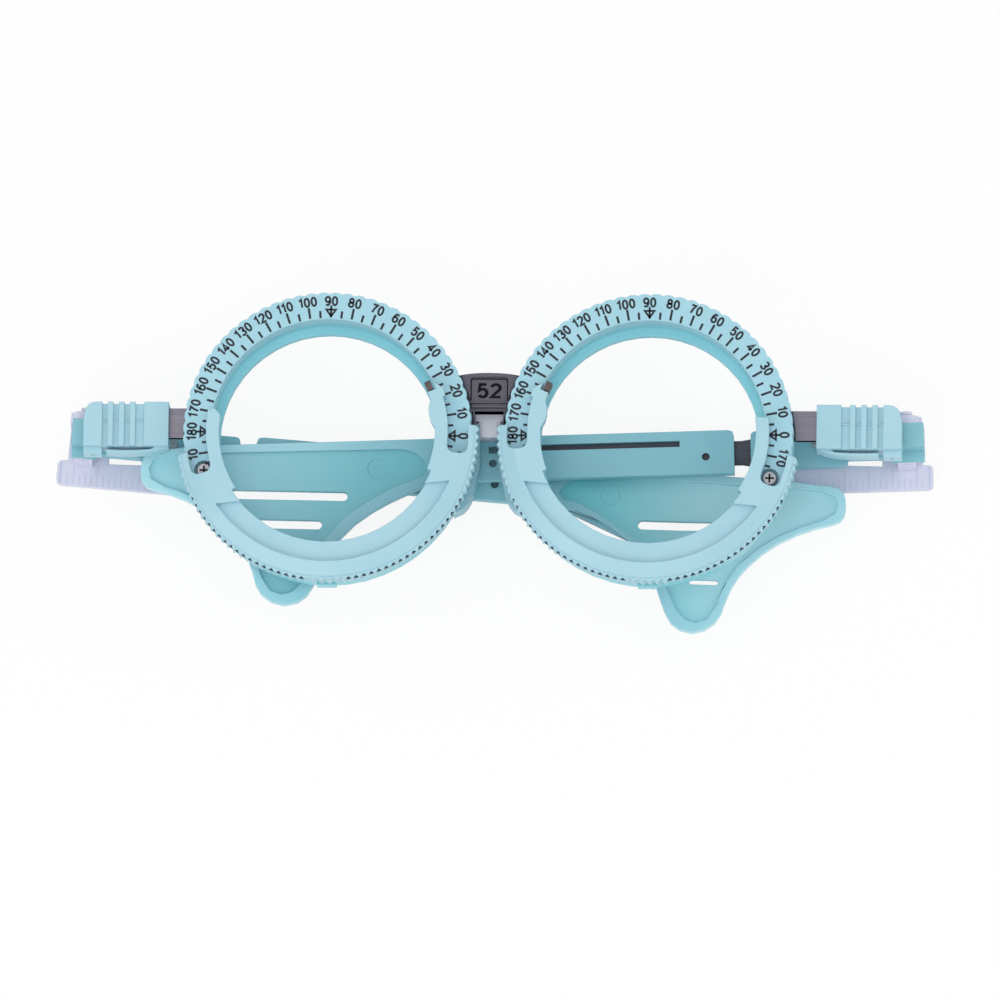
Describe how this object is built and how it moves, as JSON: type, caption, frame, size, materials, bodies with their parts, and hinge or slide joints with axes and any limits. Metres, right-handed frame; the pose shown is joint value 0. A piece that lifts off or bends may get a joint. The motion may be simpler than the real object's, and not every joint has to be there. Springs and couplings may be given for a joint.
{
  "type": "optical trial frame",
  "caption": "Fixed-distance optical trial frame: two scaled lens rings with turning knurled carriers, width sliders and folded, length-adjustable temples.",
  "frame": {"origin": "centre of the box's underside, on the surface that the folded frame lies on", "axes": "+X to the viewer's right, +Y to the top of the rings, +Z out of the front faces of the dials"},
  "size_m": [0.1424, 0.0534, 0.0223],
  "materials": {
    "dial_blue": "satin",
    "carrier_blue": "satin",
    "temple_teal": "satin",
    "pad_blue": "satin",
    "lavender": "satin",
    "bridge_grey": "satin",
    "strip_steel": "brushed",
    "screw_steel": "satin",
    "spring_steel": "satin"
  },
  "bodies": {
    "front": {"bridge": "bridge_grey", "nose_saddle": "lavender", "scale_ring_left": "dial_blue", "rear_ring_left": "dial_blue", "dial_screw_left": "screw_steel", "nose_pad_left": "pad_blue", "side_bar_left": "strip_steel", "scale_ring_right": "dial_blue", "rear_ring_right": "dial_blue", "dial_screw_right": "screw_steel", "nose_pad_right": "pad_blue", "side_bar_right": "strip_steel"},
    "carrier_left": {"lens_carrier_left": "carrier_blue", "lens_spring_left": "spring_steel"},
    "slider_left": {"slider_block_left": "carrier_blue", "hinge_block_left": "temple_teal", "hinge_pin_left": "screw_steel"},
    "temple_left": {"temple_bracket_left": "lavender", "temple_plate_left": "temple_teal", "plate_screw_left": "screw_steel", "temple_strip_left": "strip_steel"},
    "arm_left": {"temple_arm_left": "temple_teal"},
    "carrier_right": {"lens_carrier_right": "carrier_blue", "lens_spring_right": "spring_steel"},
    "slider_right": {"slider_block_right": "carrier_blue", "hinge_block_right": "temple_teal", "hinge_pin_right": "screw_steel"},
    "temple_right": {"temple_bracket_right": "lavender", "temple_plate_right": "temple_teal", "plate_screw_right": "screw_steel", "temple_strip_right": "strip_steel"},
    "arm_right": {"temple_arm_right": "temple_teal"}
  },
  "joints": [
    {"name": "carrier_turn_left", "type": "hinge", "parent": "front", "child": "carrier_left", "pos_m": [-0.02629, 0.00334, 0.02124], "axis": [0, 0, 1], "continuous": true},
    {"name": "width_slide_left", "type": "slide", "parent": "front", "child": "slider_left", "axis": [-1, 0, 0], "range_m": [-0.002, 0.003]},
    {"name": "temple_fold_left", "type": "hinge", "parent": "slider_left", "child": "temple_left", "pos_m": [-0.06649, 0.00439, 0.00584], "axis": [0.0819, 0.9966, 0], "range_deg": [0, 92]},
    {"name": "arm_length_left", "type": "slide", "parent": "temple_left", "child": "arm_left", "axis": [0.9963, -0.0819, -0.0244], "range_m": [-0.0024, 0.015]},
    {"name": "carrier_turn_right", "type": "hinge", "parent": "front", "child": "carrier_right", "pos_m": [0.02571, 0.00334, 0.02124], "axis": [0, 0, 1], "continuous": true},
    {"name": "width_slide_right", "type": "slide", "parent": "front", "child": "slider_right", "axis": [1, 0, 0], "range_m": [-0.002, 0.003]},
    {"name": "temple_fold_right", "type": "hinge", "parent": "slider_right", "child": "temple_right", "pos_m": [0.06691, 0.00439, 0.00584], "axis": [0.0384, -0.9993, 0], "range_deg": [0, 92]},
    {"name": "arm_length_right", "type": "slide", "parent": "temple_right", "child": "arm_right", "axis": [-0.999, -0.0384, 0.0227], "range_m": [-0.0024, 0.015]}
  ]
}
